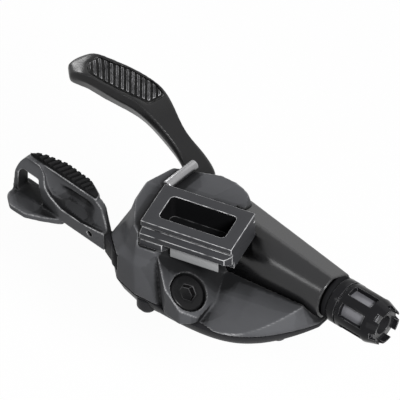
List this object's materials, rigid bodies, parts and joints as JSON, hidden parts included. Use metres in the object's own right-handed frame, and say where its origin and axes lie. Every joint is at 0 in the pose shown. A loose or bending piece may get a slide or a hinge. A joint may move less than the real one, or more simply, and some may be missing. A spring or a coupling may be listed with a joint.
{
  "type": "trigger gear shifter",
  "caption": "Right-hand trigger gear shifter: faceted housing with a rail bracket, long thumb lever with a ribbed pad, looped release lever and a barrel adjuster for the cable.",
  "frame": {"origin": "centre of the rail bracket's outer face, the face that meets the brake lever's bracket or handlebar clamp", "axes": "+X along the rail towards the cable outlet, +Z out of the rail face and parallel to the main lever's pivot, +Y towards the rider"},
  "size_m": [0.1092, 0.0567, 0.0313],
  "materials": {
    "housing": "satin dark grey paint on cast aluminium",
    "tunnel": "semi-gloss black plastic",
    "gasket": "matte black rubber",
    "lower_cover": "matte black plastic",
    "screws": "blackened steel",
    "bracket": "satin dark grey paint on aluminium",
    "clamp_plate": "bare satin aluminium",
    "bolt": "black oxide steel",
    "bare_steel": "bare ground steel",
    "pulley": "moulded acetal",
    "spring_steel": "drawn spring wire",
    "adjuster": "gloss black plastic",
    "sleeve": "black anodised aluminium",
    "main_lever": "satin black anodised aluminium",
    "bush": "sintered bearing bronze",
    "pad_rubber": "ribbed black rubber",
    "release_lever": "satin grey anodised aluminium",
    "grip_rubber": "ribbed black rubber",
    "release_hub": "black glass-filled plastic"
  },
  "bodies": {
    "shell": {"upper_housing": "housing", "tunnel_cover": "tunnel", "tunnel_gasket": "gasket", "lower_cover": "lower_cover", "cover_screws": "screws", "rail_bracket": "bracket", "clamp_plate": "clamp_plate", "bracket_bolt": "bolt", "stop_pin": "bare_steel", "main_axle": "bare_steel", "axle_nut": "bare_steel", "base_plate": "bare_steel", "hold_pawl_axle": "bare_steel", "release_axle": "bare_steel", "main_return_spring": "spring_steel", "release_return_spring": "spring_steel"},
    "main_lever_body": {"main_lever": "main_lever", "main_lever_bush": "bush", "main_lever_pad": "pad_rubber", "wind_pawl": "bare_steel"},
    "pulley_body": {"cable_pulley": "pulley", "ratchet_wheel": "bare_steel"},
    "hold_pawl_body": {"hold_pawl": "bare_steel"},
    "release_body": {"release_lever": "release_lever", "release_lever_grip": "grip_rubber", "release_hub": "release_hub"},
    "adjuster_body": {"barrel_adjuster": "adjuster", "adjuster_sleeve": "sleeve", "adjuster_spring": "spring_steel"}
  },
  "joints": [
    {"name": "main_lever_turn", "type": "hinge", "parent": "shell", "child": "main_lever_body", "pos_m": [-0.007, 0.005, -0.0114], "axis": [0, 0, 1], "range_deg": [0, 35], "stiffness_Nm_per_rad": 0.2, "springref_deg": -20.05},
    {"name": "pulley_turn", "type": "hinge", "parent": "shell", "child": "pulley_body", "pos_m": [-0.007, 0.005, -0.0188], "axis": [0, 0, 1], "range_deg": [0, 35]},
    {"name": "hold_pawl_turn", "type": "hinge", "parent": "shell", "child": "hold_pawl_body", "pos_m": [-0.01519, -0.00074, -0.0158], "axis": [0, 0, 1], "range_deg": [-10, 0], "stiffness_Nm_per_rad": 0.01, "springref_deg": 11.46},
    {"name": "release_lever_turn", "type": "hinge", "parent": "shell", "child": "release_body", "pos_m": [-0.0185, -0.005, -0.0164], "axis": [0, 0, 1], "range_deg": [-9, 9], "stiffness_Nm_per_rad": 0.3},
    {"name": "barrel_adjuster_turn", "type": "hinge", "parent": "shell", "child": "adjuster_body", "pos_m": [0.036, 0.00355, -0.0159], "axis": [0.9655, -0.2605, 0], "continuous": true}
  ],
  "couplings": [
    {"joint": "pulley_turn", "follows": "main_lever_turn", "ratio": 1}
  ]
}
